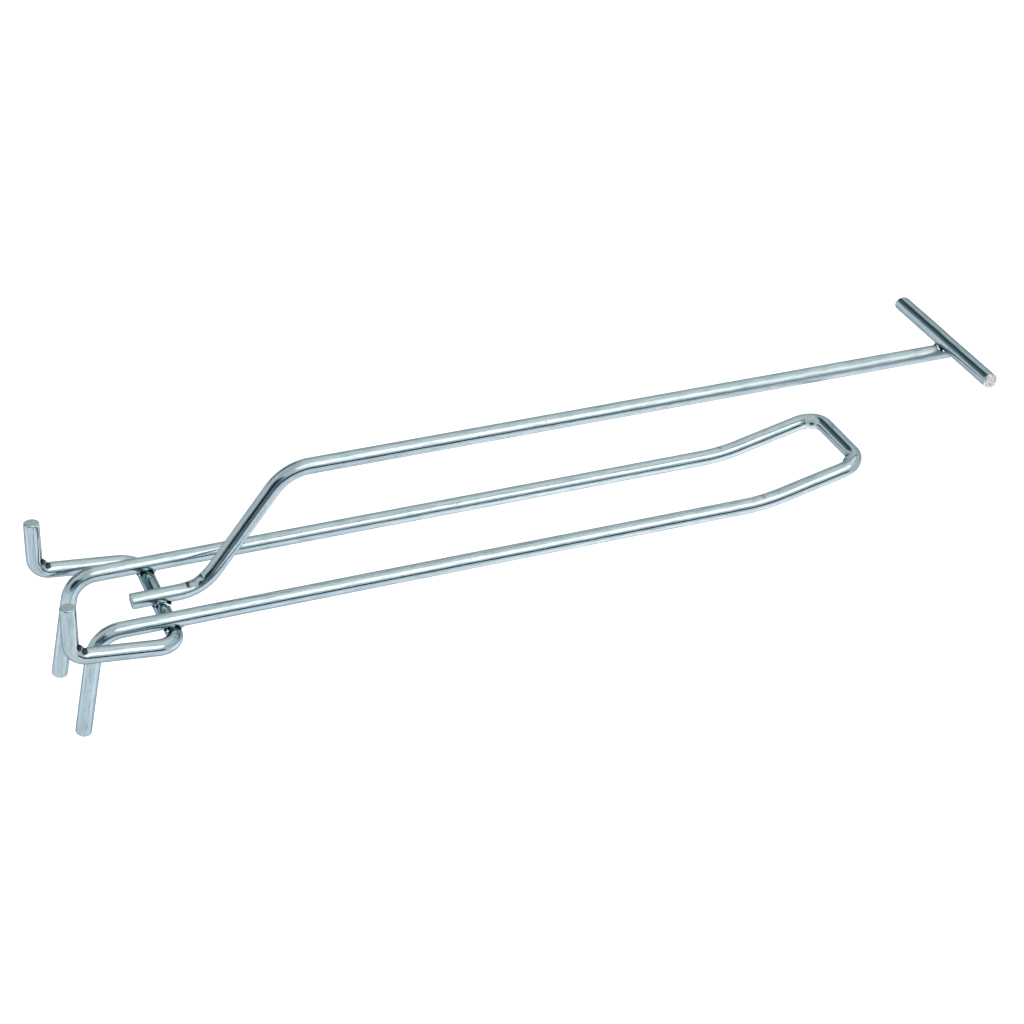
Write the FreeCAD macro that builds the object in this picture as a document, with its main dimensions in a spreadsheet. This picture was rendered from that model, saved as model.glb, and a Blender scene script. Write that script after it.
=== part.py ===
import FreeCAD, Part
import math
import os
import Sketcher

# Welded wire display hook for a perforated wall panel.
#
# All wires are the same round drawn steel. The hook is drawn as it hangs:
#   origin  midway between the bracket's two runs, on the panel's front face
#   +Y      out from the panel, along the hook
#   +Z      up
#   +X      across the hook
# Lengths of bent wires are given corner to corner on the wire's axis, as a wire bender states them.

DIMENSIONS = [
    ("wire_dia", 5.0, "diameter of every wire"),
    ("weld_sink", 1.2, "how far two crossing wires melt into each other"),
    ("prong_spacing", 33.0, "between the two prongs"),
    ("prong_pitch", 6.0, "rise of the prongs, degrees"),
    ("prong_run", 218.0, "leg corner to tip corner"),
    ("tip_pitch", 19.0, "rise of the turned-up tips, degrees"),
    ("tip_run", 35.6, "tip corner to front bar"),
    ("tip_radius", 60.0, "bend at the tips"),
    ("front_radius", 7.0, "bend at the front bar's corners"),
    ("leg_run", 34.8, "length of each leg"),
    ("leg_lean", 5.0, "lean of the legs back to the panel, degrees"),
    ("leg_radius", 9.0, "bend between leg and prong"),
    ("leg_chamfer", 0.7, "chamfer round the foot of each leg"),
    ("bracket_span", 50.0, "between the two pegs, two pitches of the panel's holes"),
    ("bracket_reach", 32.6, "crossbar to pegs"),
    ("bracket_radius", 7.0, "bend at the crossbar's corners"),
    ("peg_rise", 17.5, "length of each peg"),
    ("peg_lean", 5.0, "lean of the pegs away from the panel, degrees"),
    ("peg_radius", 5.0, "bend below each peg"),
    ("peg_chamfer", 0.4, "chamfer round the top of each peg"),
    ("crossbar_place", 23.0, "leg corner to crossbar, along the prong"),
    ("foot_tail", 9.3, "arm's foot behind the crossbar"),
    ("foot_front", 12.8, "arm's foot in front of the crossbar, to its lower corner"),
    ("foot_offset", 2.75, "arm's foot beside the middle of the hook"),
    ("arm_yaw", 0.55, "turn of the arm towards the middle of the hook, degrees"),
    ("slope_pitch", 57.3, "rise of the arm's slope, degrees"),
    ("slope_run", 45.5, "arm's lower corner to its upper corner"),
    ("slope_radius", 15.0, "both bends of the arm"),
    ("arm_pitch", 5.6, "rise of the arm's long run, degrees"),
    ("arm_run", 225.0, "arm's upper corner to the label bar"),
    ("arm_tail", 2.2, "arm in front of the label bar's axis"),
    ("foot_chamfer", 0.4, "chamfer round the cut end of the arm's foot"),
    ("bar_length", 60.0, "label bar"),
    ("bar_chamfer", 0.6, "chamfer round the label bar's ends"),
    ("flash_ring", 2.75, "radius of the ring of metal squeezed out at a weld"),
    ("flash_thick", 0.85, "radius of that ring's section"),
]

doc = FreeCAD.newDocument("panel_hook")
sizes = doc.addObject("Spreadsheet::Sheet", "sizes")
for row, (alias, number, meaning) in enumerate(DIMENSIONS, start=1):
    sizes.set(f"A{row}", alias)
    sizes.set(f"B{row}", str(number))
    sizes.setAlias(f"B{row}", alias)
    sizes.set(f"C{row}", meaning)
doc.recompute()


def value(expression):
    """Number that an expression on the sheet gives now."""
    return float(sizes.evalExpression(expression))


# ---- set-out: where the wires stand, as expressions on the sheet ----
WIRE_RADIUS = "sizes.wire_dia / 2"
STEP = "(sizes.wire_dia - sizes.weld_sink)"          # between the axes of two welded wires
UP_Y = "(-sin(sizes.prong_pitch))"                   # direction square to the prongs, upwards
UP_Z = "cos(sizes.prong_pitch)"
# The back of each leg's foot, just above its chamfer, touches the panel's face at y = 0.
CORNER_Y = "((sizes.leg_run - sizes.leg_chamfer) * sin(sizes.leg_lean)" \
           " + sizes.wire_dia / 2 * cos(sizes.leg_lean))"
# The crossbar lies at z = 0, under the prongs.
CORNER_Z = f"({STEP} * cos(sizes.prong_pitch) - sizes.crossbar_place * sin(sizes.prong_pitch))"
CROSSBAR_Y = f"({CORNER_Y} + sizes.crossbar_place * cos(sizes.prong_pitch)" \
             f" + {STEP} * sin(sizes.prong_pitch))"
PEG_Y = f"({CROSSBAR_Y} - sizes.bracket_reach)"
# The middle of the turned-up tips, where the side bends end and the front loop begins.
TIP_Y = f"({CORNER_Y} + sizes.prong_run * cos(sizes.prong_pitch)" \
        " + sizes.tip_run / 2 * cos(sizes.tip_pitch))"
TIP_Z = f"({CORNER_Z} + sizes.prong_run * sin(sizes.prong_pitch)" \
        " + sizes.tip_run / 2 * sin(sizes.tip_pitch))"
# The arm's foot starts behind the crossbar, with its axis level with the prongs'.
FOOT_Y = f"({CROSSBAR_Y} + {STEP} * {UP_Y} - sizes.foot_tail * cos(sizes.prong_pitch))"
FOOT_Z = f"({STEP} * {UP_Z} - sizes.foot_tail * sin(sizes.prong_pitch))"
FOOT_RUN = "(sizes.foot_tail + sizes.foot_front)"
# Point on the arm's axis below the label bar.
ARM_Y = f"({FOOT_Y} + {FOOT_RUN} * cos(sizes.prong_pitch)" \
        " + sizes.slope_run * cos(sizes.slope_pitch) + sizes.arm_run * cos(sizes.arm_pitch))"
ARM_Z = f"({FOOT_Z} + {FOOT_RUN} * sin(sizes.prong_pitch)" \
        " + sizes.slope_run * sin(sizes.slope_pitch) + sizes.arm_run * sin(sizes.arm_pitch))"


def origin_plane(body, role):
    """One of a body's own origin planes, by its role."""
    return next(plane for plane in body.Origin.OriginFeatures if plane.Role == role)


def bend_path(body, name, role, place, start, runs, radii):
    """Sketch of a bent wire's axis: straight runs (corner to corner, with their directions in
    degrees) joined by tangent arcs. start is the first point; every number is an expression."""
    path = body.newObject("Sketcher::SketchObject", name)
    path.AttachmentSupport = [(origin_plane(body, role), "")]
    path.MapMode = "FlatFace"
    path.setExpression("AttachmentOffset", place)
    turns = [f"(({runs[i + 1][1]}) - ({runs[i][1]}))" for i in range(len(radii))]
    setbacks = [f"({radius} * tan(abs({turn}) / 2))" for radius, turn in zip(radii, turns)]
    point = FreeCAD.Vector(value(start[0]), value(start[1]), 0)
    previous = None
    for i, (run, heading) in enumerate(runs):
        straight = run
        for setback in setbacks[max(i - 1, 0):i + 1]:
            straight += f" - {setback}"
        angle = math.radians(value(heading))
        along = FreeCAD.Vector(math.cos(angle), math.sin(angle), 0)
        end = point + along * value(straight)
        line = path.addGeometry(Part.LineSegment(point, end), False)
        length = Sketcher.Constraint("Distance", line, value(straight))
        named(path, f"{name}_run_{i}", length, straight)
        turned = Sketcher.Constraint("Angle", line, angle)
        named(path, f"{name}_heading_{i}", turned, f"({heading}) * 1 deg")
        if previous is None:
            across = Sketcher.Constraint("DistanceX", -1, 1, line, 1, point.x)
            named(path, f"{name}_start_x", across, start[0])
            upward = Sketcher.Constraint("DistanceY", -1, 1, line, 1, point.y)
            named(path, f"{name}_start_y", upward, start[1])
        else:
            path.addConstraint(Sketcher.Constraint("Tangent", previous[0], previous[1], line, 1))
        if i == len(radii):
            break
        turn = math.radians(value(turns[i]))
        side = math.copysign(1, turn)
        radius = value(radii[i])
        centre = end + FreeCAD.Vector(-along.y, along.x, 0) * (side * radius)
        first = angle - side * math.pi / 2
        last = first + turn
        circle = Part.Circle(centre, FreeCAD.Vector(0, 0, 1), radius)
        arc = path.addGeometry(Part.ArcOfCircle(circle, min(first, last), max(first, last)), False)
        begins, ends = (1, 2) if side > 0 else (2, 1)
        path.addConstraint(Sketcher.Constraint("Tangent", line, 2, arc, begins))
        rounding = Sketcher.Constraint("Radius", arc, radius)
        named(path, f"{name}_radius_{i}", rounding, radii[i])
        previous = (arc, ends)
        point = centre + FreeCAD.Vector(math.cos(last), math.sin(last), 0) * radius
    return path


def named(sketch, name, constraint, expression):
    """Add a constraint to a sketch and bind it to an expression."""
    index = sketch.addConstraint(constraint)
    sketch.renameConstraint(index, name)
    sketch.setExpression(f"Constraints.{name}", expression)


def wire_along(body, path):
    """Pipe of the wire's round section along a path, from the path's first end."""
    section = body.newObject("Sketcher::SketchObject", f"{path.Name}_section")
    section.AttachmentSupport = [(path, "Edge1")]
    section.MapMode = "NormalToEdge"
    section.MapPathParameter = 0
    middle = FreeCAD.Vector(0, 0, 0)
    circle = Part.Circle(middle, FreeCAD.Vector(0, 0, 1), value(WIRE_RADIUS))
    ring = section.addGeometry(circle, False)
    section.addConstraint(Sketcher.Constraint("Coincident", ring, 3, -1, 1))
    radius = Sketcher.Constraint("Radius", ring, value(WIRE_RADIUS))
    named(section, "wire_radius", radius, WIRE_RADIUS)
    doc.recompute()
    pipe = body.newObject("PartDesign::AdditivePipe", f"{path.Name}_wire")
    pipe.Profile = section
    pipe.Spine = (path, [f"Edge{i + 1}" for i in range(len(path.Shape.Edges))])
    doc.recompute()
    return pipe


def mirror_across(body, features):
    """Repeat features on the other side of the hook's middle plane."""
    mirrored = body.newObject("PartDesign::Mirrored", f"{body.Name}_other_side")
    mirrored.Originals = features
    mirrored.MirrorPlane = (origin_plane(body, "YZ_Plane"), [""])
    body.Tip = mirrored
    doc.recompute()
    return mirrored


def end_faces(feature, height_of, wanted):
    """Names of the flat round end faces whose middles rank lowest by height_of."""
    faces = [(height_of(face.CenterOfMass), f"Face{i + 1}")
             for i, face in enumerate(feature.Shape.Faces)
             if face.Surface.TypeId == "Part::GeomPlane"]
    return [name for _, name in sorted(faces)[:wanted]]


def chamfer_ends(body, feature, height_of, wanted, size):
    """Chamfer the rims of a wire's cut ends."""
    chamfer = body.newObject("PartDesign::Chamfer", f"{body.Name}_ends")
    chamfer.Base = (feature, end_faces(feature, height_of, wanted))
    chamfer.setExpression("Size", size)
    body.Tip = chamfer
    doc.recompute()
    return chamfer


def offset_plane(distance):
    """Attachment that stands a sketch plane off along its own normal."""
    return f"placement(vector(0; 0; {distance}); rotation(vector(1; 0; 0); 0))"


def cut(name, base, tool):
    """Part workbench cut of one object by another."""
    result = doc.addObject("Part::Cut", name)
    result.Base = base
    result.Tool = tool
    return result


# ---- prong wire: leg, prong and turned-up tip on each side, and the front bar between them ----
prong_wire = doc.addObject("PartDesign::Body", "prong_wire")
side_path = bend_path(
    prong_wire, "side", "YZ_Plane", offset_plane("sizes.prong_spacing / 2"),
    (f"{CORNER_Y} - sizes.leg_run * sin(sizes.leg_lean)",
     f"{CORNER_Z} - sizes.leg_run * cos(sizes.leg_lean)"),
    [("sizes.leg_run", "90 - sizes.leg_lean"),
     ("sizes.prong_run", "sizes.prong_pitch"),
     ("sizes.tip_run / 2", "sizes.tip_pitch")],
    ["sizes.leg_radius", "sizes.tip_radius"])
side_wire = wire_along(prong_wire, side_path)
# The front loop lies in the plane of the turned-up tips.
tip_plane = f"placement(vector(0; {TIP_Y}; {TIP_Z}); rotation(vector(1; 0; 0); sizes.tip_pitch))"
front_path = bend_path(
    prong_wire, "front", "XY_Plane", tip_plane,
    ("0", "sizes.tip_run / 2"),
    [("sizes.prong_spacing / 2", "0"),
     ("sizes.tip_run / 2", "-90")],
    ["sizes.front_radius"])
front_wire = wire_along(prong_wire, front_path)
both_prongs = mirror_across(prong_wire, [side_wire, front_wire])
chamfer_ends(prong_wire, both_prongs, lambda middle: middle.z, 2, "sizes.leg_chamfer")

# ---- bracket wire: crossbar, a run through the panel on each side, and a peg behind it ----
bracket_bent = doc.addObject("PartDesign::Body", "bracket_bent")
crossbar_path = bend_path(
    bracket_bent, "crossbar", "XY_Plane", offset_plane("0"),
    ("0", CROSSBAR_Y),
    [("sizes.bracket_span / 2", "0"),
     ("sizes.bracket_reach / 2", "-90")],
    ["sizes.bracket_radius"])
crossbar_wire = wire_along(bracket_bent, crossbar_path)
peg_path = bend_path(
    bracket_bent, "peg", "YZ_Plane", offset_plane("sizes.bracket_span / 2"),
    (f"{PEG_Y} + sizes.bracket_reach / 2", "0"),
    [("sizes.bracket_reach / 2", "180"),
     ("sizes.peg_rise", "90 + sizes.peg_lean")],
    ["sizes.peg_radius"])
peg_wire = wire_along(bracket_bent, peg_path)
both_pegs = mirror_across(bracket_bent, [crossbar_wire, peg_wire])
chamfer_ends(bracket_bent, both_pegs, lambda middle: -middle.z, 2, "sizes.peg_chamfer")

# ---- label arm: foot on the crossbar, slope, and the long run over the prongs ----
arm_bent = doc.addObject("PartDesign::Body", "arm_bent")
arm_path = bend_path(
    arm_bent, "arm", "YZ_Plane", offset_plane("0"),
    (FOOT_Y, FOOT_Z),
    [(FOOT_RUN, "sizes.prong_pitch"),
     ("sizes.slope_run", "sizes.slope_pitch"),
     ("sizes.arm_run + sizes.arm_tail", "sizes.arm_pitch")],
    ["sizes.slope_radius", "sizes.slope_radius"])
arm_wire = wire_along(arm_bent, arm_path)
chamfer_ends(arm_bent, arm_wire, lambda middle: middle.y, 1, "sizes.foot_chamfer")
ARM_PLACE = "placement(vector(sizes.foot_offset; 0; 0); rotation(vector(0; 0; 1); sizes.arm_yaw))"
arm_bent.setExpression("Placement", ARM_PLACE)

# ---- label bar: short straight wire across the arm's front end ----
label_bar = doc.addObject("PartDesign::Body", "label_bar")
bar_section = label_bar.newObject("Sketcher::SketchObject", "bar_section")
bar_section.AttachmentSupport = [(origin_plane(label_bar, "YZ_Plane"), "")]
bar_section.MapMode = "FlatFace"
bar_middle = FreeCAD.Vector(0, 0, 0)
bar_circle = Part.Circle(bar_middle, FreeCAD.Vector(0, 0, 1), value(WIRE_RADIUS))
bar_ring = bar_section.addGeometry(bar_circle, False)
bar_section.addConstraint(Sketcher.Constraint("Coincident", bar_ring, 3, -1, 1))
bar_radius = Sketcher.Constraint("Radius", bar_ring, value(WIRE_RADIUS))
named(bar_section, "wire_radius", bar_radius, WIRE_RADIUS)
bar_pad = label_bar.newObject("PartDesign::Pad", "bar_pad")
bar_pad.Profile = bar_section
bar_pad.Midplane = True
bar_pad.setExpression("Length", "sizes.bar_length")
doc.recompute()
chamfer_ends(label_bar, bar_pad, lambda middle: middle.x, 2, "sizes.bar_chamfer")
BAR_Y = f"({ARM_Y} - {STEP} * sin(sizes.arm_pitch))"
BAR_Z = f"({ARM_Z} + {STEP} * cos(sizes.arm_pitch))"
BAR_PLACE = f"placement(vector(0; {BAR_Y}; {BAR_Z}); rotation(vector(1; 0; 0); 0))"
label_bar.setExpression("Placement", BAR_PLACE)

# ---- weld seats: each wire that lies against another is melted to its shape ----
label_arm = cut("label_arm", arm_bent, label_bar)
bracket_under_prongs = cut("bracket_under_prongs", bracket_bent, prong_wire)
bracket_wire = cut("bracket_wire", bracket_under_prongs, label_arm)


def weld(name, across, y, z, pitch, wires):
    """Ring of metal squeezed out round the contact of two crossing wires."""
    ring = doc.addObject("Part::Torus", f"{name}_ring")
    ring.setExpression("Radius1", "sizes.flash_ring")
    ring.setExpression("Radius2", "sizes.flash_thick")
    place = f"placement(vector({across}; {y}; {z}); rotation(vector(1; 0; 0); {pitch}))"
    ring.setExpression("Placement", place)
    between = cut(f"{name}_between", ring, wires[0])
    return cut(name, between, wires[1])


HALF_STEP = f"({STEP} / 2)"
CROSS_WELD_Y = f"{CROSSBAR_Y} + {HALF_STEP} * {UP_Y}"
CROSS_WELD_Z = f"{HALF_STEP} * {UP_Z}"
FOOT_X = f"sizes.foot_offset - {CROSSBAR_Y} * sin(sizes.arm_yaw)"
welds = [
    weld("weld_prong_right", "sizes.prong_spacing / 2", CROSS_WELD_Y, CROSS_WELD_Z,
         "sizes.prong_pitch", (prong_wire, bracket_wire)),
    weld("weld_prong_left", "-sizes.prong_spacing / 2", CROSS_WELD_Y, CROSS_WELD_Z,
         "sizes.prong_pitch", (prong_wire, bracket_wire)),
    weld("weld_arm_foot", FOOT_X, CROSS_WELD_Y, CROSS_WELD_Z,
         "sizes.prong_pitch", (label_arm, bracket_wire)),
    weld("weld_label_bar", "0", f"{ARM_Y} - {HALF_STEP} * sin(sizes.arm_pitch)",
         f"{ARM_Z} + {HALF_STEP} * cos(sizes.arm_pitch)",
         "sizes.arm_pitch", (label_arm, label_bar)),
]
doc.recompute()

# ---- check and write ----
sub_parts = [prong_wire, bracket_wire, label_arm, label_bar] + welds
for feature in doc.Objects:
    if "Invalid" in feature.State or "Error" in feature.State:
        raise RuntimeError(f"{feature.Label} failed: {feature.State}")
os.makedirs("parts", exist_ok=True)
for sub_part in sub_parts:
    sub_part.Label = sub_part.Name
    shape = sub_part.Shape
    if shape.isNull() or not shape.isValid() or len(shape.Solids) != 1:
        raise RuntimeError(f"{sub_part.Label} is not one sound solid")
    shape.exportStep(f"parts/{sub_part.Label}.step")
    print(f"{sub_part.Label}: {shape.Volume:.1f} mm3")
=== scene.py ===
import math

import bmesh
import bpy
from bpy.props import FloatProperty, FloatVectorProperty, IntProperty, PointerProperty
from mathutils import Matrix, Vector, geometry, noise


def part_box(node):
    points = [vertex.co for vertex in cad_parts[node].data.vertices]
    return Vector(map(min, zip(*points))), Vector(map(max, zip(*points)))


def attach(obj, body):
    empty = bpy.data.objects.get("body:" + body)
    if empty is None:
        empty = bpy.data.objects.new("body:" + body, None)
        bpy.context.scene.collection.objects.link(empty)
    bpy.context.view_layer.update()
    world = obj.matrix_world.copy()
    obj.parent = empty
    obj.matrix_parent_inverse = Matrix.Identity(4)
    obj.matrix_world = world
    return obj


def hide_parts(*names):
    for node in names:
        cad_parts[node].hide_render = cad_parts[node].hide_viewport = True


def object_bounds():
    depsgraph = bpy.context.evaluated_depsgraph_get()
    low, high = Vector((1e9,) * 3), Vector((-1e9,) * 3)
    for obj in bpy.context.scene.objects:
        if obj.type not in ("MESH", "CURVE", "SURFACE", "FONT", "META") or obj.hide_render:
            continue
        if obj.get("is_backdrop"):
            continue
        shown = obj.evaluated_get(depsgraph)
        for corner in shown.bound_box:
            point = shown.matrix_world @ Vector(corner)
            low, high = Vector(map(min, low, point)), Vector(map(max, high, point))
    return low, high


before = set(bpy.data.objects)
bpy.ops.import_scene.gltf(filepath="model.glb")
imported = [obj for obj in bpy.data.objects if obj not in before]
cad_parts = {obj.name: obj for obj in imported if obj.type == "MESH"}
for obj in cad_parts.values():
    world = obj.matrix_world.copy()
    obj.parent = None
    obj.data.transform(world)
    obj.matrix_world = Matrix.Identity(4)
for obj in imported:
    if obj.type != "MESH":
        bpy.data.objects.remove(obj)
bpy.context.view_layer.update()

bl_info = {
    "name": "Welded Panel Hook",
    "version": (1, 0, 0),
    "blender": (4, 5, 0),
    "location": "3D View > Sidebar > Panel Hook",
    "description": "Welded wire display hook for a perforated panel, with its plating and studio",
    "category": "Add Mesh",
}

# The hook hangs as on its panel: +Y out from the panel, +Z up, +X across.
BODY = "root"
BOX_TOLERANCE = 0.0004
BAR_LOW, BAR_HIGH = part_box("label_bar")
WIRE_DIAMETER = BAR_HIGH.z - BAR_LOW.z
ACROSS = Vector((1, 0, 0))
UP = Vector((0, 0, 1))

# Rings of a cut end: angles round its rim, in degrees, then shares of its face's radius.
RIM_ANGLES = (22.5, 45, 67.5, 90)
FACE_SHARES = (0.93, 0.8, 0.66, 0.52, 0.38, 0.24, 0.1)
# Stretch at each end of a straight run that gets close rings.
FINE_STRETCH = 0.004
# How far the straightening rollers left a wire off its true radius.
WAVER = 0.00003
LABEL_BAR_WAVER = 0.00008
# A press mark fades out at this many times its size.
PRESS_FADE = 2.5
# Bites of the former beside a tight bend: half length, size, depth, how far they lie from the
# crease in sizes of its bulge, and how far back into the wire.
BITE_HALF = 0.0012
BITE_SIZE = 0.00085
BITE_DEPTH = 0.00045
BITE_APART = 1.15
BITE_BACK = 0.0003
# Marks in the arm's lower bend: place along the bend, size, depth and painted shade, the darkening
# laid in the dent. The middle one is a facet, the outer two are bites.
ARM_MARKS = (
    (-0.0028, 0.0006, 0.00050, 1.5),
    (-0.0006, 0.0015, 0.00050, 0.0),
    (0.0020, 0.0006, 0.00035, 1.0),
)
# The arm's plating goes dull between these two distances along the wire.
ARM_DULL = (0.13, 0.23)
# Facets round a weld ring's section and along the ring.
FLASH_SIDES = 20
FLASH_STEPS = 96
# Half size and middle of the floor, which stops short on the darker side of the room.
FLOOR_HALF = (1.1, 1.6)
FLOOR_MIDDLE = (-0.75, 0.1)


# ---- sizes and colours ----

def length_property(name, description, default):
    """Length in metres, shown in the scene's unit."""
    return FloatProperty(name=name, description=description, default=default,
                         min=0.0, precision=5, unit="LENGTH", subtype="DISTANCE")


def angle_property(name, description, degrees):
    """Angle, stated here in degrees."""
    return FloatProperty(name=name, description=description, default=math.radians(degrees),
                         precision=3, unit="ROTATION", subtype="ANGLE")


def colour_property(name, description, default):
    """Linear colour."""
    return FloatVectorProperty(name=name, description=description, default=default,
                               size=3, min=0.0, max=1.0, subtype="COLOR")


def share_property(name, description, default, top=1.0):
    """Plain number from 0 to top."""
    return FloatProperty(name=name, description=description, default=default,
                         min=0.0, max=top, precision=3)


class PANELHOOK_PG_sizes(bpy.types.PropertyGroup):
    """Sizes of the bent wires, corner to corner on the wire's axis."""
    wire: length_property("Wire", "Diameter of every wire", WIRE_DIAMETER)
    weld_sink: length_property("Weld sink", "How far two crossing wires melt together", 0.0012)
    prong_pitch: angle_property("Prong pitch", "Rise of the prongs", 6.0)
    prong_run: length_property("Prong run", "Leg corner to tip corner", 0.218)
    tip_pitch: angle_property("Tip pitch", "Rise of the turned-up tips", 19.0)
    tip_run: length_property("Tip run", "Tip corner to front bar", 0.0356)
    tip_radius: length_property("Tip bend", "Radius of the bend at each tip", 0.060)
    front_radius: length_property("Front bend", "Radius of the front bar's corners", 0.007)
    leg_run: length_property("Leg run", "Length of each leg", 0.0348)
    leg_lean: angle_property("Leg lean", "Lean of the legs back to the panel", 5.0)
    leg_radius: length_property("Leg bend", "Radius between leg and prong", 0.009)
    bracket_reach: length_property("Bracket reach", "Crossbar to pegs", 0.0326)
    bracket_radius: length_property("Bracket bend", "Radius of the crossbar's corners", 0.007)
    peg_rise: length_property("Peg rise", "Length of each peg", 0.0175)
    peg_lean: angle_property("Peg lean", "Lean of the pegs away from the panel", 5.0)
    peg_radius: length_property("Peg bend", "Radius below each peg", 0.005)
    foot_run: length_property("Foot run", "Arm's foot, cut end to lower corner", 0.0221)
    foot_offset: length_property("Foot offset", "Arm's foot beside the middle of the hook", 0.00275)
    arm_yaw: angle_property("Arm yaw", "Turn of the arm towards the middle", 0.55)
    slope_pitch: angle_property("Slope pitch", "Rise of the arm's slope", 57.3)
    slope_run: length_property("Slope run", "Arm's lower corner to its upper corner", 0.0455)
    slope_radius: length_property("Slope bends", "Radius of both bends of the arm", 0.015)
    arm_pitch: angle_property("Arm pitch", "Rise of the arm's long run", 5.6)
    arm_run: length_property("Arm run", "Arm's upper corner to the label bar", 0.225)
    arm_tail: length_property("Arm tail", "Arm in front of the label bar's axis", 0.0022)
    flash_ring: length_property("Flash ring", "Radius of the metal squeezed out at a weld", 0.00258)
    flash_lip: length_property("Flash lip", "Half width of that ring's section", 0.00090)
    flash_thick: length_property("Flash thickness", "Half thickness of that section", 0.00060)
    sides: IntProperty(name="Sides", description="Facets round a wire", default=44, min=12, max=96)
    run_step: length_property("Run step", "Spacing of the rings on straight runs", 0.0020)
    bend_step: length_property("Bend step", "Spacing of the rings in and beside bends", 0.0005)


class PANELHOOK_PG_finish(bpy.types.PropertyGroup):
    """Colours and roughness of the plating, the cut ends and the weld metal."""
    plating: colour_property("Plating", "Bright plating on the wires", (0.345, 0.445, 0.475))
    plating_pale: colour_property("Pale plating", "Lighter clouds", (0.39, 0.48, 0.50))
    plating_dark: colour_property("Dark plating", "Thin streaks in the plating", (0.22, 0.30, 0.33))
    # The pits' own dark colour, which also darkens the press dents as painted shade.
    pit_and_dent_shade: colour_property("Pits", "Small pits under the plating", (0.012, 0.018, 0.022))
    sheared: colour_property("Sheared steel", "Sheared faces of the cut ends", (0.86, 0.85, 0.84))
    torn: colour_property("Torn steel", "Dark grains in the sheared faces", (0.30, 0.32, 0.33))
    # The weld flash's near-black colour is painted shade between the crossed wires, and the bright
    # colour below paints its glints.
    weld: colour_property("Weld metal", "Burnt metal at the welds", (0.012, 0.018, 0.022))
    weld_glint: colour_property("Weld beads", "Bright beads in the burnt metal", (0.80, 0.86, 0.88))
    edge: colour_property("Edge", "Tint of the plating seen at a grazing angle", (0.30, 0.33, 0.38))
    gloss_low: share_property("Smooth plating", "Lowest roughness of the plating", 0.05)
    gloss_high: share_property("Cloudy plating", "Highest roughness of the plating", 0.13)
    gloss_dull: share_property("Dull plating", "Roughness where the plating has gone dull", 0.33)


class PANELHOOK_PG_studio(bpy.types.PropertyGroup):
    """Camera, floor and light."""
    azimuth: angle_property("Azimuth", "Camera round the hook, from -Y towards +X", 65.705)
    elevation: angle_property("Elevation", "Camera above the horizon", 28.886)
    roll: angle_property("Roll", "Lift of the picture's right side", 6.78)
    distance: length_property("Distance", "Camera to the middle of the hook", 0.8247)
    above: length_property("Above", "Camera's aim above the hook's middle", 0.00057)
    beside: length_property("Beside", "Camera's aim left of the hook's middle", 0.00034)
    lens: FloatProperty(name="Lens", description="Focal length", default=91.64, unit="CAMERA")
    floor_gap: length_property("Floor gap", "Lowest point of the hook above the floor", 0.065)
    floor: colour_property("Floor", "Plain floor", (0.80, 0.80, 0.80))
    floor_light: colour_property("Floor light", "Light under the floor", (0.80, 0.83, 1.0))
    floor_glow: share_property("Floor glow", "Strength of the light under the floor", 0.44)
    sky: share_property("Surround", "Brightness of the white surround", 1.0, 10.0)


class PANELHOOK_PG_hook(bpy.types.PropertyGroup):
    """Everything that can be set on the panel hook."""
    sizes: PointerProperty(type=PANELHOOK_PG_sizes)
    finish: PointerProperty(type=PANELHOOK_PG_finish)
    studio: PointerProperty(type=PANELHOOK_PG_studio)


# ---- wire bending ----

class CutEnd:
    """How a wire's end is cut: the rounding of its rim, how far its face slopes back from its
    longest side, the face's lumps, and how bare its steel is."""

    def __init__(self, rim, slope=2.0, longest=UP, fade=0.003, grain=0.00002, bare=0.4):
        self.rim = rim
        self.slope = math.tan(math.radians(slope))
        self.longest = longest
        self.fade = fade
        self.grain = grain
        self.bare = bare


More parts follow.
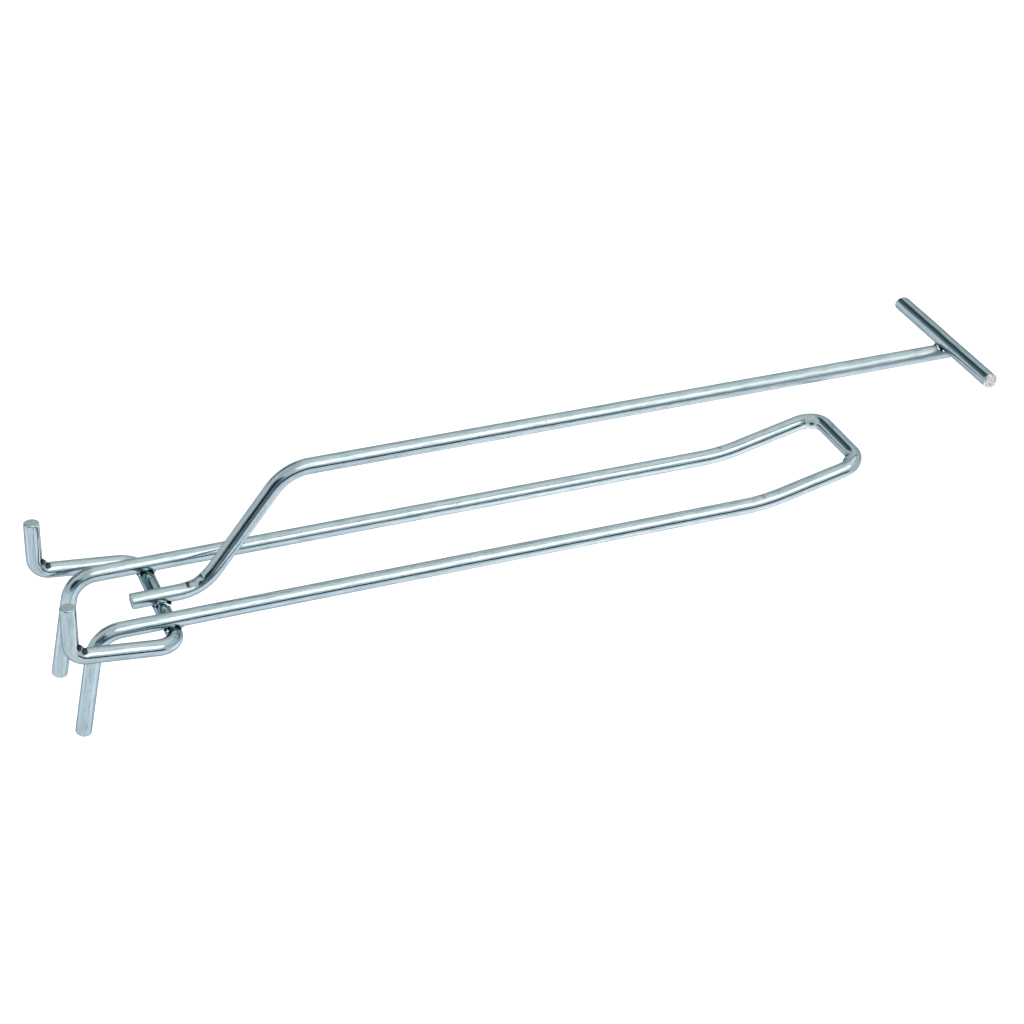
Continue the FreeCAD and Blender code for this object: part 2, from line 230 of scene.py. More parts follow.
class Wire:
    """A round wire, grown ring by ring along straight runs with a bend at each corner."""

    def __init__(self, sizes, seed):
        self.radius = sizes.wire / 2
        self.sizes = sizes
        self.seed = Vector((seed, 0.37 * seed, 0.71 * seed))
        self.bm = bmesh.new()
        layers = self.bm.verts.layers
        self.place = layers.float_vector.new("wire_place")
        self.bare = layers.float.new("bare_end")
        # Weight of the painted shade that darkens each press dent.
        self.press_shade = layers.float.new("press_shade")
        self.dulled = layers.float.new("dulled")
        self.along = 0.0
        self.bends = []

    def grow(self, distance):
        """Extrude the ring that the wire has reached; the caller moves the new one."""
        grown = bmesh.ops.extrude_edge_only(self.bm, edges=self.edges)["geom"]
        self.edges = [part for part in grown if isinstance(part, bmesh.types.BMEdge)]
        self.ring = [part for part in grown if isinstance(part, bmesh.types.BMVert)]
        self.along += distance
        for vert in self.ring:
            vert[self.place].z = self.along

    def start(self, point, direction):
        """First ring of the wire, square to its first run."""
        made = bmesh.ops.create_circle(self.bm, segments=self.sizes.sides, radius=self.radius)
        self.ring = made["verts"]
        self.edges = list(self.bm.edges)
        for vert in self.ring:
            vert[self.place] = vert.co
        turn = UP.rotation_difference(direction).to_matrix().to_4x4()
        bmesh.ops.transform(self.bm, matrix=Matrix.Translation(point) @ turn, verts=self.ring)

    def run(self, vector):
        """Straight run, with closer rings near its two ends, where tools mark it."""
        beside = min(FINE_STRETCH, vector.length / 2)
        middle = vector.length - 2 * beside
        steps = [(beside, self.sizes.bend_step), (middle, self.sizes.run_step),
                 (beside, self.sizes.bend_step)]
        for stretch, step in steps:
            count = math.ceil(stretch / step)
            for _ in range(count):
                self.grow(stretch / count)
                advance = vector.normalized() * (stretch / count)
                bmesh.ops.translate(self.bm, vec=advance, verts=self.ring)

    def bend(self, centre, axis, angle, radius):
        """Bend round a former."""
        steps = max(2, round(angle * radius / self.sizes.bend_step))
        turn = Matrix.Rotation(angle / steps, 3, axis)
        for _ in range(steps):
            self.grow(angle * radius / steps)
            bmesh.ops.rotate(self.bm, cent=centre, matrix=turn, verts=self.ring)

    def close(self, point, outward, cut):
        """Close the ring that the wire has reached with a rounded rim and a sheared face."""
        first = self.radius - cut.rim
        quarter = [math.radians(a) for a in RIM_ANGLES]
        rings = [(first + cut.rim * math.cos(a), cut.rim * math.sin(a)) for a in quarter]
        rings += [(first * share, cut.rim) for share in FACE_SHARES]
        reach, depth = self.radius, 0.0
        middle = point - outward * cut.rim
        for new_reach, new_depth in rings:
            self.grow(0.0)
            scale = new_reach / reach
            about = Matrix.Translation(-(middle + outward * depth))
            bmesh.ops.scale(self.bm, vec=(scale,) * 3, space=about, verts=self.ring)
            bmesh.ops.translate(self.bm, vec=outward * (new_depth - depth), verts=self.ring)
            for vert in self.ring:
                vert[self.place].xy = vert[self.place].xy * scale
                vert[self.bare] = cut.bare * min(1.0, max(0.0, (new_depth / cut.rim - 0.7) / 0.3))
            reach, depth = new_reach, new_depth
        lid = bmesh.ops.contextual_create(self.bm, geom=self.edges)["faces"]
        hub = bmesh.ops.poke(self.bm, faces=lid)["verts"]
        for vert in hub:
            vert[self.bare] = cut.bare
        tilt = (cut.longest - outward * cut.longest.dot(outward)).normalized()
        for vert in self.bm.verts:
            back = outward.dot(point - vert.co)
            if (vert.co - point).length < cut.fade + self.radius:
                share = 1 - min(1.0, max(0.0, (back - cut.rim) / cut.fade))
                offset = (tilt.dot(vert.co - point) - first) * cut.slope
                lumps = noise.noise(vert.co * 2200 + self.seed) + 1.5 * noise.noise(vert.co * 800)
                face = 1.0 if back < 0.2 * cut.rim else 0.0
                vert.co += outward * (offset * share + lumps * cut.grain * face)

    def follow(self, corners, radii, first_cut, last_cut):
        """The whole wire: runs between the corners, a tangent bend at each, and two cut ends."""
        runs = [b - a for a, b in zip(corners, corners[1:])]
        headings = [run.normalized() for run in runs]
        angles = [a.angle(b) for a, b in zip(headings, headings[1:])]
        setbacks = [radius * math.tan(angle / 2) for radius, angle in zip(radii, angles)]
        before = [first_cut.rim] + setbacks
        after = setbacks + [last_cut.rim]
        point = corners[0] + headings[0] * first_cut.rim
        self.start(point, headings[0])
        first_ring, first_edges = self.ring, self.edges
        for i, heading in enumerate(headings):
            straight = heading * (runs[i].length - before[i] - after[i])
            self.run(straight)
            point = point + straight
            if i < len(radii):
                axis = heading.cross(headings[i + 1]).normalized()
                centre = point + axis.cross(heading) * radii[i]
                inward = (headings[i + 1] - heading).normalized()
                crease = corners[i + 1] + inward * self.radius / math.cos(angles[i] / 2)
                self.bends.append((centre - inward * radii[i], inward, crease, heading,
                                   headings[i + 1]))
                self.bend(centre, axis, angles[i], radii[i])
                point = corners[i + 1] + headings[i + 1] * setbacks[i]
        self.close(corners[-1], headings[-1], last_cut)
        self.ring, self.edges, self.along = first_ring, first_edges, 0.0
        self.close(corners[0], -headings[0], first_cut)
        bmesh.ops.recalc_face_normals(self.bm, faces=self.bm.faces)
        self.bm.normal_update()

    def waver(self, amount):
        """The slight unevenness that straightening rollers leave on drawn wire."""
        for vert in self.bm.verts:
            place = vert[self.place]
            slow = Vector((place.x * 180, place.y * 180, place.z * 45)) + self.seed
            quick = Vector((place.x * 420, place.y * 420, place.z * 210)) - self.seed
            lift = noise.noise(slow) + 0.35 * noise.noise(quick)
            vert.co += vert.normal * (amount * lift)

    def dull(self, first, last):
        """Let the plating go dull from one distance along the wire to another, and stay so."""
        for vert in self.bm.verts:
            share = (vert[self.place].z - first) / (last - first)
            vert[self.dulled] = min(1.0, max(0.0, share))

    def press(self, start, end, size, depth, dent_shade):
        """Mark that a bending tool leaves on the surface, from start to end, with painted shade
        darkening the dent.
        """
        reach = PRESS_FADE * size + (end - start).length
        for vert in self.bm.verts:
            if (vert.co - start).length > reach:
                continue
            share = 0.0
            if (end - start).length > 0:
                share = geometry.intersect_point_line(vert.co, start, end)[1]
            nearest = start.lerp(end, min(1.0, max(0.0, share)))
            away = (vert.co - nearest).length / size
            if away < PRESS_FADE:
                weight = math.exp(-away ** 2)
                vert.co -= vert.normal * (depth * weight)
                vert[self.press_shade] = max(vert[self.press_shade], min(1.0, dent_shade * weight))

    def crease(self, bend, fullness, size, dent_shade):
        """Metal crowded to the inside of a tight bend, with the former's bite on each side, each
        bite darkened with painted shade.
        """
        middle, inward, corner, arriving, leaving = self.bends[bend]
        spot = middle + inward * self.radius
        self.press(spot, spot, size, -fullness, 0.0)
        across = arriving.cross(leaving).normalized() * BITE_HALF
        for bite in (corner - arriving * size * BITE_APART, corner + leaving * size * BITE_APART):
            bite = bite - inward * BITE_BACK
            self.press(bite - across, bite + across, BITE_SIZE, BITE_DEPTH, dent_shade)

    def nick(self, bend, aside, size, depth):
        """Small nick of a tool on the inside of an open bend, darkened with painted shade."""
        middle, inward, _, _, leaving = self.bends[bend]
        spot = middle + inward * self.radius + leaving * aside
        self.press(spot - ACROSS * 0.0006, spot + ACROSS * 0.0006, size, depth, 0.8)

    def finish(self, name, node, slot, material):
        """Turn the grown wire into a piece that stands for its CAD node."""
        mesh = bpy.data.meshes.new(name)
        self.bm.to_mesh(mesh)
        self.bm.free()
        return add_piece(name, mesh, node, material)


def add_piece(name, mesh, node, material):
    """Show a mesh as a piece in place of a CAD node, and compare the two boxes."""
    mesh.polygons.foreach_set("use_smooth", [True] * len(mesh.polygons))
    mesh.materials.append(material)
    piece = bpy.data.objects.new(name, mesh)
    bpy.context.scene.collection.objects.link(piece)
    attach(piece, BODY)
    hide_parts(node)
    low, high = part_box(node)
    for i in range(3):
        along = [vert.co[i] for vert in mesh.vertices]
        off = max(abs(min(along) - low[i]), abs(max(along) - high[i]))
        if off > BOX_TOLERANCE:
            raise RuntimeError(f"{name} is {off * 1000:.2f} mm off {node} on axis {i}")
    return piece


def pitched(angle, yaw=0.0):
    """Direction out from the panel that rises by angle and turns by yaw towards -X."""
    level = Vector((-math.sin(yaw), math.cos(yaw), 0))
    return level * math.cos(angle) + UP * math.sin(angle)


# ---- materials ----

def new_material(name):
    """Material with a principled shader; returns it, its nodes, its links and the shader."""
    material = bpy.data.materials.new(name)
    material.use_nodes = True
    nodes = material.node_tree.nodes
    return material, nodes, material.node_tree.links, nodes["Principled BSDF"]


def add_node(nodes, kind, **settings):
    """Node with its settings."""
    node = nodes.new(kind)
    for key, setting in settings.items():
        setattr(node, key, setting)
    return node


def stretched_noise(nodes, links, source, scale, detail, roughness=0.5):
    """Noise on a vector that is scaled first, so its grains can be long and thin."""
    mapping = add_node(nodes, "ShaderNodeMapping")
    mapping.inputs["Scale"].default_value = scale
    links.new(source, mapping.inputs["Vector"])
    grain = add_node(nodes, "ShaderNodeTexNoise")
    grain.inputs["Scale"].default_value = 1.0
    grain.inputs["Detail"].default_value = detail
    grain.inputs["Roughness"].default_value = roughness
    links.new(mapping.outputs["Vector"], grain.inputs["Vector"])
    return grain.outputs["Fac"]


def spread(nodes, links, source, low, high, to_low=0.0, to_high=1.0):
    """Map a value from low..high to to_low..to_high, clamped."""
    ranged = add_node(nodes, "ShaderNodeMapRange")
    ranged.inputs["From Min"].default_value = low
    ranged.inputs["From Max"].default_value = high
    ranged.inputs["To Min"].default_value = to_low
    ranged.inputs["To Max"].default_value = to_high
    links.new(source, ranged.inputs["Value"])
    return ranged.outputs["Result"]


def blend_colour(nodes, links, share, first, second):
    """Mix two colours by a share; first is a socket or a colour, second a colour."""
    mix = add_node(nodes, "ShaderNodeMix", data_type="RGBA")
    links.new(share, mix.inputs["Factor"])
    if isinstance(first, bpy.types.NodeSocket):
        links.new(first, mix.inputs["A"])
    else:
        mix.inputs["A"].default_value = (*first, 1)
    mix.inputs["B"].default_value = (*second, 1)
    return mix.outputs["Result"]


def blend_value(nodes, links, share, first, second):
    """Mix a socket towards a number by a share."""
    mix = add_node(nodes, "ShaderNodeMix", data_type="FLOAT")
    links.new(share, mix.inputs["Factor"])
    links.new(first, mix.inputs["A"])
    mix.inputs["B"].default_value = second
    return mix.outputs["Result"]


def bumped(nodes, links, height, strength, distance, normal=None):
    """Bump from a height, on top of another bump."""
    bump = add_node(nodes, "ShaderNodeBump")
    bump.inputs["Strength"].default_value = strength
    bump.inputs["Distance"].default_value = distance
    links.new(height, bump.inputs["Height"])
    if normal is not None:
        links.new(normal, bump.inputs["Normal"])
    return bump.outputs["Normal"]


def attribute(nodes, name):
    """Attribute node of a mesh layer."""
    return add_node(nodes, "ShaderNodeAttribute", attribute_type="GEOMETRY", attribute_name=name)


def plated_wire(finish):
    """Bright bluish plating over drawn wire: drawing lines, clouds, pits, painted shade in the
    press dents and sheared ends.
    """
    known = bpy.data.materials.get("bright_plated_wire")
    if known:
        return known
    material, nodes, links, shader = new_material("bright_plated_wire")
    place = attribute(nodes, "wire_place").outputs["Vector"]
    bare = attribute(nodes, "bare_end").outputs["Fac"]
    press_shade = attribute(nodes, "press_shade").outputs["Fac"]
    dulled = attribute(nodes, "dulled").outputs["Fac"]
    lines = stretched_noise(nodes, links, place, (3600, 3600, 60), 3.0, 0.6)
    streaks = stretched_noise(nodes, links, place, (1300, 1300, 170), 4.0, 0.65)
    clouds = stretched_noise(nodes, links, place, (260, 260, 160), 4.0, 0.6)
    grit = stretched_noise(nodes, links, place, (2600, 2600, 2600), 2.0)
    holes = add_node(nodes, "ShaderNodeTexVoronoi", feature="F1")
    holes.inputs["Scale"].default_value = 420.0
    holes.inputs["Randomness"].default_value = 1.0
    links.new(place, holes.inputs["Vector"])
    pits = spread(nodes, links, holes.outputs["Distance"], 0.08, 0.14, 1.0, 0.0)
    rare = spread(nodes, links, clouds, 0.54, 0.62, 0.0, 0.6)
    pit_share = add_node(nodes, "ShaderNodeMath", operation="MULTIPLY")
    links.new(pits, pit_share.inputs[0])
    links.new(rare, pit_share.inputs[1])
    cloud_share = spread(nodes, links, clouds, 0.35, 0.65)
    colour = blend_colour(nodes, links, cloud_share, finish.plating, finish.plating_pale)
    streak_share = spread(nodes, links, streaks, 0.48, 0.70, 0.0, 0.80)
    colour = blend_colour(nodes, links, streak_share, colour, finish.plating_dark)
    colour = blend_colour(nodes, links, pit_share.outputs["Value"], colour, finish.pit_and_dent_shade)
    # Painted shade: the press dents are darkened towards the pit colour.
    crease = spread(nodes, links, press_shade, 0.50, 0.90, 0.0, 0.92)
    colour = blend_colour(nodes, links, crease, colour, finish.pit_and_dent_shade)
    torn = spread(nodes, links, grit, 0.35, 0.60)
    face = blend_colour(nodes, links, torn, finish.torn, finish.sheared)
    steel = add_node(nodes, "ShaderNodeMix", data_type="RGBA")
    links.new(bare, steel.inputs["Factor"])
    links.new(colour, steel.inputs["A"])
    links.new(face, steel.inputs["B"])
    colour = steel.outputs["Result"]
    links.new(colour, shader.inputs["Base Color"])
    rough = spread(nodes, links, streaks, 0.30, 0.70, finish.gloss_low, finish.gloss_high)
    rough = blend_value(nodes, links, dulled, rough, finish.gloss_dull)
    rough = blend_value(nodes, links, bare, rough, 0.50)
    links.new(rough, shader.inputs["Roughness"])
    shader.inputs["Metallic"].default_value = 1.0
    shader.inputs["Specular Tint"].default_value = (*finish.edge, 1)
    normal = bumped(nodes, links, lines, 0.14, 0.00004)
    normal = bumped(nodes, links, streaks, 0.16, 0.00006, normal)
    normal = bumped(nodes, links, clouds, 0.26, 0.0002, normal)
    normal = bumped(nodes, links, grit, 0.06, 0.00004, normal)
    links.new(normal, shader.inputs["Normal"])
    return material


def weld_metal(finish):
    """Metal squeezed out of a resistance weld, coloured near black as painted shade between the
    crossed wires, with bright patches as painted glints.
    """
    known = bpy.data.materials.get("weld_flash_shade_and_glints")
    if known:
        return known
    material, nodes, links, shader = new_material("weld_flash_shade_and_glints")
    here = add_node(nodes, "ShaderNodeTexCoord").outputs["Object"]
    lumps = stretched_noise(nodes, links, here, (900, 900, 900), 3.0, 0.6)
    glints = stretched_noise(nodes, links, here, (700, 700, 700), 1.0)
    # Painted glints: bright patches in the near-black painted shade of the flash.
    glint_share = spread(nodes, links, glints, 0.53, 0.55)
    colour = blend_colour(nodes, links, glint_share, finish.weld, finish.weld_glint)
    links.new(colour, shader.inputs["Base Color"])
    links.new(spread(nodes, links, lumps, 0.3, 0.7, 0.15, 0.35), shader.inputs["Roughness"])
    shader.inputs["Metallic"].default_value = 1.0
    shader.inputs["Specular Tint"].default_value = (*finish.edge, 1)
    links.new(bumped(nodes, links, lumps, 0.5, 0.0003), shader.inputs["Normal"])
    return material


# ---- pieces ----

class PANELHOOK_OT_prongs(bpy.types.Operator):
    """Bend the prong wire: legs, prongs, turned-up tips and front bar in one length"""
    bl_idname = "panelhook.prongs"
    bl_label = "Prong Wire"
    bl_options = {"REGISTER", "UNDO"}

    def execute(self, context):
        hook = context.scene.panel_hook
        sizes = hook.sizes
        radius = sizes.wire / 2
        low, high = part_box("prong_wire")
        half = ACROSS * (high.x - radius)
        front = Vector((0, high.y - radius, high.z - radius))
        tip = front - pitched(sizes.tip_pitch) * sizes.tip_run
        leg_top = tip - pitched(sizes.prong_pitch) * sizes.prong_run
        leg_foot = leg_top - pitched(math.pi / 2 - sizes.leg_lean) * sizes.leg_run
        side = [leg_foot, leg_top, tip, front]
        corners = [point + half for point in side] + [point - half for point in reversed(side)]
        bends = [sizes.leg_radius, sizes.tip_radius, sizes.front_radius]
        wire = Wire(sizes, 1.0)
        rounded = CutEnd(0.0009, longest=ACROSS, bare=0.1)
        wire.follow(corners, bends + bends[::-1], rounded, rounded)
        wire.waver(WAVER)
        for tip_bend in (1, 4):
            wire.nick(tip_bend, 0.0, 0.0006, 0.0002)
        for front_bend in (2, 3):
            wire.crease(front_bend, 0.0009, 0.0018, 1.1)
        wire.finish("prongs", "prong_wire", "plated_wire", plated_wire(hook.finish))
        return {"FINISHED"}


class PANELHOOK_OT_bracket(bpy.types.Operator):
    """Bend the bracket: crossbar, two arms and the pegs that hold in the panel"""
    bl_idname = "panelhook.bracket"
    bl_label = "Bracket Wire"
    bl_options = {"REGISTER", "UNDO"}

    def execute(self, context):
        hook = context.scene.panel_hook
        sizes = hook.sizes
        radius = sizes.wire / 2
        low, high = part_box("bracket_wire")
        half = ACROSS * (high.x - radius)
        crossbar = Vector((0, high.y - radius, low.z + radius))
        peg_foot = crossbar - Vector((0, sizes.bracket_reach, 0))
        peg_top = peg_foot + pitched(math.pi / 2 + sizes.peg_lean) * sizes.peg_rise
        side = [peg_top, peg_foot, crossbar]
        corners = [point + half for point in side] + [point - half for point in reversed(side)]
        bends = [sizes.peg_radius, sizes.bracket_radius]
        wire = Wire(sizes, 2.0)
        flat = CutEnd(0.0005, longest=ACROSS, grain=0.00003, bare=0.25)
        wire.follow(corners, bends + bends[::-1], flat, flat)
        wire.waver(WAVER)
        for peg_bend in (0, 3):
            wire.crease(peg_bend, 0.0006, 0.0013, 3.0)
        wire.finish("bracket", "bracket_wire", "plated_wire", plated_wire(hook.finish))
        return {"FINISHED"}


class PANELHOOK_OT_arm(bpy.types.Operator):
    """Bend the label arm: foot, slope and long run"""
    bl_idname = "panelhook.arm"
    bl_label = "Label Arm"
    bl_options = {"REGISTER", "UNDO"}

    def execute(self, context):
        hook = context.scene.panel_hook
        sizes = hook.sizes
        low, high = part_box("label_bar")
        bar = (low + high) / 2
        yaw = sizes.arm_yaw
        run = pitched(sizes.arm_pitch, yaw)
        # At the panel's face the arm's line stands at the foot's offset; the yaw brings it inwards.
        below = Vector((sizes.foot_offset - bar.y * math.tan(yaw), bar.y, bar.z))
        below -= pitched(math.pi / 2 + sizes.arm_pitch, yaw) * (sizes.wire - sizes.weld_sink)
        upper = below - run * sizes.arm_run
        lower = upper - pitched(sizes.slope_pitch, yaw) * sizes.slope_run
        foot = lower - pitched(sizes.prong_pitch, yaw) * sizes.foot_run
        corners = [foot, lower, upper, below + run * sizes.arm_tail]
        wire = Wire(sizes, 3.0)
        sheared = CutEnd(0.0004, slope=4, grain=0.00003)
        wire.follow(corners, [sizes.slope_radius] * 2, sheared, CutEnd(0.0004))
        wire.waver(WAVER)
        wire.dull(*ARM_DULL)
        # The former bit into the inside of the lower bend and left facets beside the bite. The
        # bites are darkened with painted shade.
        middle, inward, _, arriving, leaving = wire.bends[0]
        towards = (inward * 0.98 + ACROSS * 0.18).normalized()
        spot = middle + towards * wire.radius
        half = ACROSS * 0.0008
        for step, size, depth, dent_shade in ARM_MARKS:
            mark = spot + (arriving + leaving).normalized() * step
            wire.press(mark - half, mark + half, size, depth, dent_shade)
        wire.finish("label_arm_wire", "label_arm", "plated_wire", plated_wire(hook.finish))
        return {"FINISHED"}


class PANELHOOK_OT_label_bar(bpy.types.Operator):
    """Cut the label bar from straight wire, with two sheared ends"""
    bl_idname = "panelhook.label_bar"
    bl_label = "Label Bar"
    bl_options = {"REGISTER", "UNDO"}

    def execute(self, context):
        hook = context.scene.panel_hook
        low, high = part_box("label_bar")
        middle = (low + high) / 2
        ends = [Vector((x, middle.y, middle.z)) for x in (low.x, high.x)]
        wire = Wire(hook.sizes, 4.0)
        oblique = CutEnd(0.0007, slope=14, longest=Vector((0, -0.6, -0.8)), fade=0.006, bare=0.6)
        rough = CutEnd(0.0005, slope=3, longest=Vector((0, -1, 0)), grain=0.00012, bare=1.0)
        wire.follow(ends, [], oblique, rough)
        wire.waver(LABEL_BAR_WAVER)
        wire.finish("label_bar_wire", "label_bar", "plated_wire", plated_wire(hook.finish))
        return {"FINISHED"}


class PANELHOOK_OT_welds(bpy.types.Operator):
    """Squeeze out the rings of weld metal where crossing wires are welded"""
    bl_idname = "panelhook.welds"
    bl_label = "Weld Metal"
    bl_options = {"REGISTER", "UNDO"}

    def execute(self, context):
        hook = context.scene.panel_hook
        sizes = hook.sizes
        square_to_prong = pitched(math.pi / 2 + sizes.prong_pitch)
        square_to_foot = pitched(math.pi / 2 + sizes.prong_pitch, sizes.arm_yaw)
        square_to_arm = pitched(math.pi / 2 + sizes.arm_pitch, sizes.arm_yaw)
        welds = {
            "weld_prong_right": square_to_prong,
            "weld_prong_left": square_to_prong,
            "weld_arm_foot": square_to_foot,
            "weld_label_bar": square_to_arm,
        }
        for seed, (node, axis) in enumerate(welds.items()):
            self.squeeze(hook, node, axis, 5.0 + seed)
        return {"FINISHED"}

    def squeeze(self, hook, node, axis, seed):
        """One lumpy ring round the contact between two wires, painted with shade and glints by its
        material.
        """
        sizes = hook.sizes
        low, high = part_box(node)
        bm = bmesh.new()
        made = bmesh.ops.create_circle(bm, segments=FLASH_SIDES, radius=sizes.flash_lip)
        stand = Matrix.Rotation(math.pi / 2, 4, "X") @ Matrix.Diagonal(
            (1, sizes.flash_thick / sizes.flash_lip, 1, 1))
        stand.translation = (sizes.flash_ring, 0, 0)
        bmesh.ops.transform(bm, matrix=stand, verts=made["verts"])
        bmesh.ops.spin(bm, geom=bm.verts[:] + bm.edges[:], axis=(0, 0, 1), cent=(0, 0, 0),
                       angle=2 * math.pi, steps=FLASH_STEPS, use_merge=True)
        bmesh.ops.recalc_face_normals(bm, faces=bm.faces)
        bm.normal_update()
        shift = Vector((seed, -seed, 0.5 * seed))
        for vert in bm.verts:
            lumps = noise.noise(vert.co * 500 + shift) + 0.6 * noise.noise(vert.co * 1500 - shift)
            vert.co += vert.normal * (0.00025 * lumps)
        place = UP.rotation_difference(axis).to_matrix().to_4x4()
        place.translation = (low + high) / 2
        bmesh.ops.transform(bm, matrix=place, verts=bm.verts)
        mesh = bpy.data.meshes.new(node + "_flash")
        bm.to_mesh(mesh)
        bm.free()
        add_piece(node + "_flash", mesh, node, weld_metal(hook.finish))


# ---- studio ----

def heading(azimuth, elevation):
    """Direction towards an azimuth from +Y towards +X and an elevation, in degrees."""
    azimuth, elevation = math.radians(azimuth), math.radians(elevation)
    level = math.cos(elevation)
    return Vector((math.sin(azimuth) * level, math.cos(azimuth) * level, math.sin(elevation)))


# Softboxes and flags round the hook: azimuth, elevation, inner and outer half width in
# degrees, and brightness.
SURROUND = [
    (3, 69, 6, 38, (1.38, 1.35, 1.29)),
    (74, 45, 18, 24, (2.75, 2.5, 2.45)),
    (124, 12, 13, 20, (0.28, 0.31, 0.34)),
    (140, 19, 15, 20, (0.13, 0.17, 0.20)),
    (138, 18, 10, 13, (0.002, 0.006, 0.012)),
    (156, 24, 8, 15, (0.12, 0.16, 0.18)),
    (-105, 37, 8, 14, (0.10, 0.14, 0.16)),
    (-116, 32, 10, 16, (0.06, 0.11, 0.14)),
    (-125, 20, 7, 13, (0.20, 0.25, 0.28)),
    (62, -5, 7, 11, (0.02, 0.06, 0.12)),
    (72, -5, 7, 11, (0.02, 0.06, 0.12)),
    (82, -5, 7, 11, (0.02, 0.06, 0.12)),
    (92, -4, 8, 12, (0.05, 0.09, 0.15)),
    (104, -3, 8, 14, (0.14, 0.19, 0.24)),
    (-79, 31, 5, 10, (0.72, 0.75, 0.76)),
]


# Soft pools of light on the floor, a large one under the prongs and two beside the legs:
# x, y, inner and outer radius, and light.
FLOOR_POOLS = [
    (0.0, 0.28, 0.10, 0.18, (1.35, 1.16, 1.20)),
    (-0.05, -0.17, 0.02, 0.07, (0.72, 0.75, 0.90)),
    (0.10, 0.10, 0.02, 0.07, (0.72, 0.75, 0.90)),
]


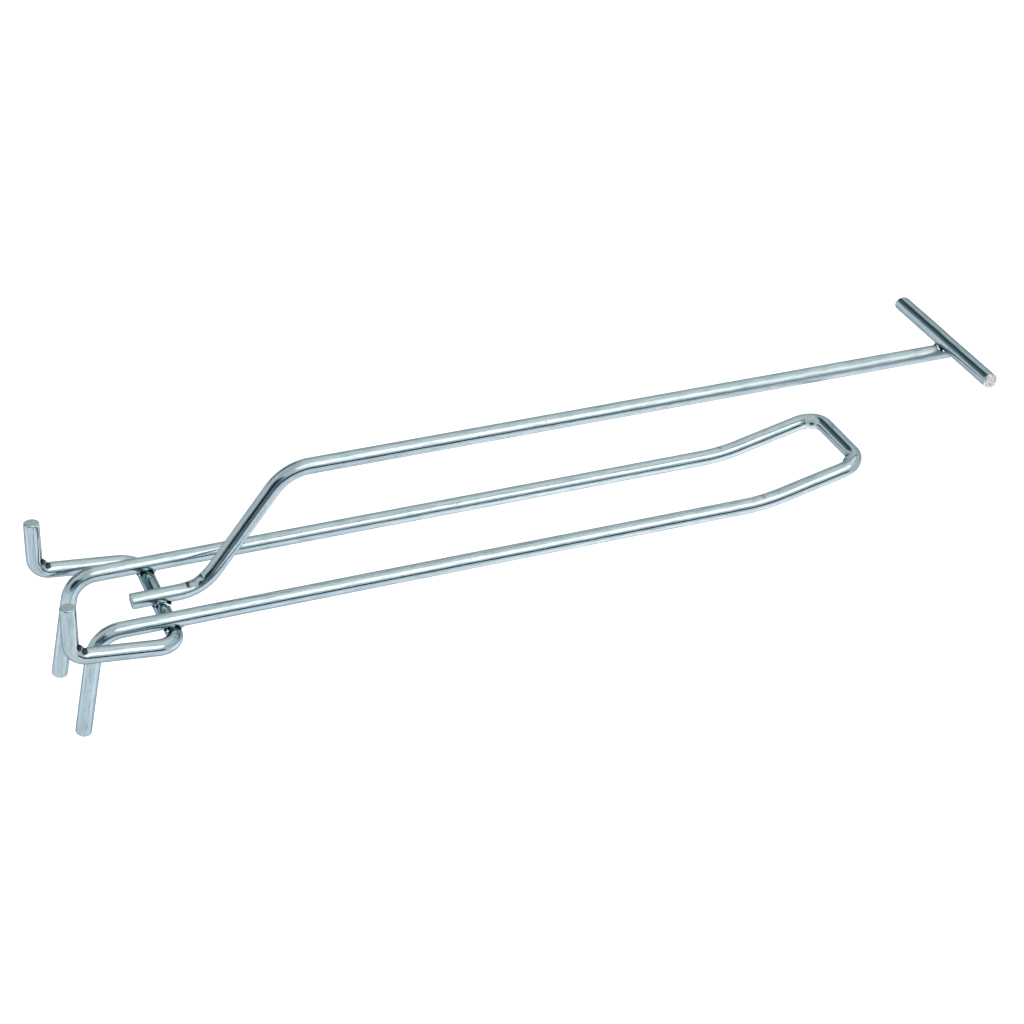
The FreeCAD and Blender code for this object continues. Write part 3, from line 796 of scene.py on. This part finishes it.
class PANELHOOK_OT_stage(bpy.types.Operator):
    """Lay the pale floor, light the studio and place the camera"""
    bl_idname = "panelhook.stage"
    bl_label = "Floor, Light and Camera"
    bl_options = {"REGISTER", "UNDO"}

    def execute(self, context):
        studio = context.scene.panel_hook.studio
        low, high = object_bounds()
        self.lay_floor(context, studio, low)
        self.light(context, studio)
        self.place_camera(context, studio, (low + high) / 2)
        context.scene.view_settings.view_transform = "Standard"
        return {"FINISHED"}

    def lay_floor(self, context, studio, low):
        """Plain floor that stops short on the darker side of the room."""
        bm = bmesh.new()
        bmesh.ops.create_grid(bm, x_segments=1, y_segments=1, size=1.0)
        height = low.z - studio.floor_gap
        bmesh.ops.scale(bm, vec=(*FLOOR_HALF, 1.0), verts=bm.verts)
        bmesh.ops.translate(bm, vec=(*FLOOR_MIDDLE, height), verts=bm.verts)
        mesh = bpy.data.meshes.new("floor")
        bm.to_mesh(mesh)
        bm.free()
        material, nodes, links, shader = new_material("plain_floor")
        here = add_node(nodes, "ShaderNodeTexCoord").outputs["Object"]
        shade = spread(nodes, links, stretched_noise(nodes, links, here, (3, 3, 3), 2.0), 0, 1)
        pale = [tone * 0.97 for tone in studio.floor]
        colour = blend_colour(nodes, links, shade, pale, studio.floor)
        links.new(colour, shader.inputs["Base Color"])
        shader.inputs["Roughness"].default_value = 0.9
        glow = add_node(nodes, "ShaderNodeRGB").outputs["Color"]
        glow.default_value = (*(tone * studio.floor_glow for tone in studio.floor_light), 1)
        for x, y, inner, outer, light in FLOOR_POOLS:
            apart = add_node(nodes, "ShaderNodeVectorMath", operation="DISTANCE")
            links.new(here, apart.inputs[0])
            apart.inputs[1].default_value = (x, y, height)
            share = spread(nodes, links, apart.outputs["Value"], inner, outer, 1.0, 0.0)
            glow = blend_colour(nodes, links, share, glow, light)
        links.new(glow, shader.inputs["Emission Color"])
        shader.inputs["Emission Strength"].default_value = 1.0
        mesh.materials.append(material)
        floor = bpy.data.objects.new("floor", mesh)
        context.scene.collection.objects.link(floor)
        floor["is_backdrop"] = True

    def light(self, context, studio):
        """White surround with a large softbox and a few dark flags."""
        world = bpy.data.worlds.new("studio")
        context.scene.world = world
        world.use_nodes = True
        nodes, links = world.node_tree.nodes, world.node_tree.links
        nodes.clear()
        towards = add_node(nodes, "ShaderNodeTexCoord").outputs["Generated"]
        colour = add_node(nodes, "ShaderNodeRGB").outputs["Color"]
        colour.default_value = (studio.sky, studio.sky, studio.sky, 1)
        for azimuth, elevation, inner, outer, tone in SURROUND:
            facing = add_node(nodes, "ShaderNodeVectorMath", operation="DOT_PRODUCT")
            links.new(towards, facing.inputs[0])
            facing.inputs[1].default_value = heading(azimuth, elevation)
            share = spread(nodes, links, facing.outputs["Value"],
                           math.cos(math.radians(outer)), math.cos(math.radians(inner)))
            colour = blend_colour(nodes, links, share, colour, tone)
        surround = add_node(nodes, "ShaderNodeBackground")
        links.new(colour, surround.inputs["Color"])
        plain = add_node(nodes, "ShaderNodeBackground")
        plain.inputs["Color"].default_value = (1, 1, 1, 1)
        seen = add_node(nodes, "ShaderNodeLightPath").outputs["Is Camera Ray"]
        both = add_node(nodes, "ShaderNodeMixShader")
        links.new(seen, both.inputs[0])
        links.new(surround.outputs[0], both.inputs[1])
        links.new(plain.outputs[0], both.inputs[2])
        output = add_node(nodes, "ShaderNodeOutputWorld")
        links.new(both.outputs[0], output.inputs["Surface"])

    def place_camera(self, context, studio, middle):
        """Camera aimed at the middle of the hook, with the picture's right side lifted a little."""
        data = bpy.data.cameras.new("camera")
        data.lens = studio.lens
        camera = bpy.data.objects.new("camera", data)
        context.scene.collection.objects.link(camera)
        context.scene.camera = camera
        level = math.cos(studio.elevation)
        back = Vector((math.sin(studio.azimuth) * level, -math.cos(studio.azimuth) * level,
                       math.sin(studio.elevation)))
        flat_right = UP.cross(back).normalized()
        flat_up = back.cross(flat_right)
        right = flat_right * math.cos(studio.roll) + flat_up * math.sin(studio.roll)
        up = back.cross(right)
        place = Matrix((right, up, back)).transposed().to_4x4()
        place.translation = (middle + back * studio.distance + up * studio.above
                             - right * studio.beside)
        camera.matrix_world = place


# ---- sidebar ----

class PANELHOOK_PT_sidebar(bpy.types.Panel):
    """Sizes, colours and building steps of the panel hook"""
    bl_idname = "PANELHOOK_PT_sidebar"
    bl_label = "Panel Hook"
    bl_space_type = "VIEW_3D"
    bl_region_type = "UI"
    bl_category = "Panel Hook"

    def draw(self, context):
        for step in STEPS:
            self.layout.operator(step.bl_idname)
        hook = context.scene.panel_hook
        for group in (hook.sizes, hook.finish, hook.studio):
            box = self.layout.box()
            for name in group.__annotations__:
                box.prop(group, name)


GROUPS = [PANELHOOK_PG_sizes, PANELHOOK_PG_finish, PANELHOOK_PG_studio, PANELHOOK_PG_hook]
STEPS = [PANELHOOK_OT_prongs, PANELHOOK_OT_bracket, PANELHOOK_OT_arm, PANELHOOK_OT_label_bar,
         PANELHOOK_OT_welds, PANELHOOK_OT_stage]
CLASSES = GROUPS + STEPS + [PANELHOOK_PT_sidebar]


def register():
    for kind in CLASSES:
        bpy.utils.register_class(kind)
    bpy.types.Scene.panel_hook = PointerProperty(type=PANELHOOK_PG_hook)


def unregister():
    del bpy.types.Scene.panel_hook
    for kind in reversed(CLASSES):
        bpy.utils.unregister_class(kind)


def main():
    """Build the hook piece by piece."""
    register()
    bpy.ops.panelhook.prongs()
    bpy.ops.panelhook.bracket()
    bpy.ops.panelhook.arm()
    bpy.ops.panelhook.label_bar()
    bpy.ops.panelhook.welds()
    bpy.ops.panelhook.stage()


if __name__ == "__main__":
    main()
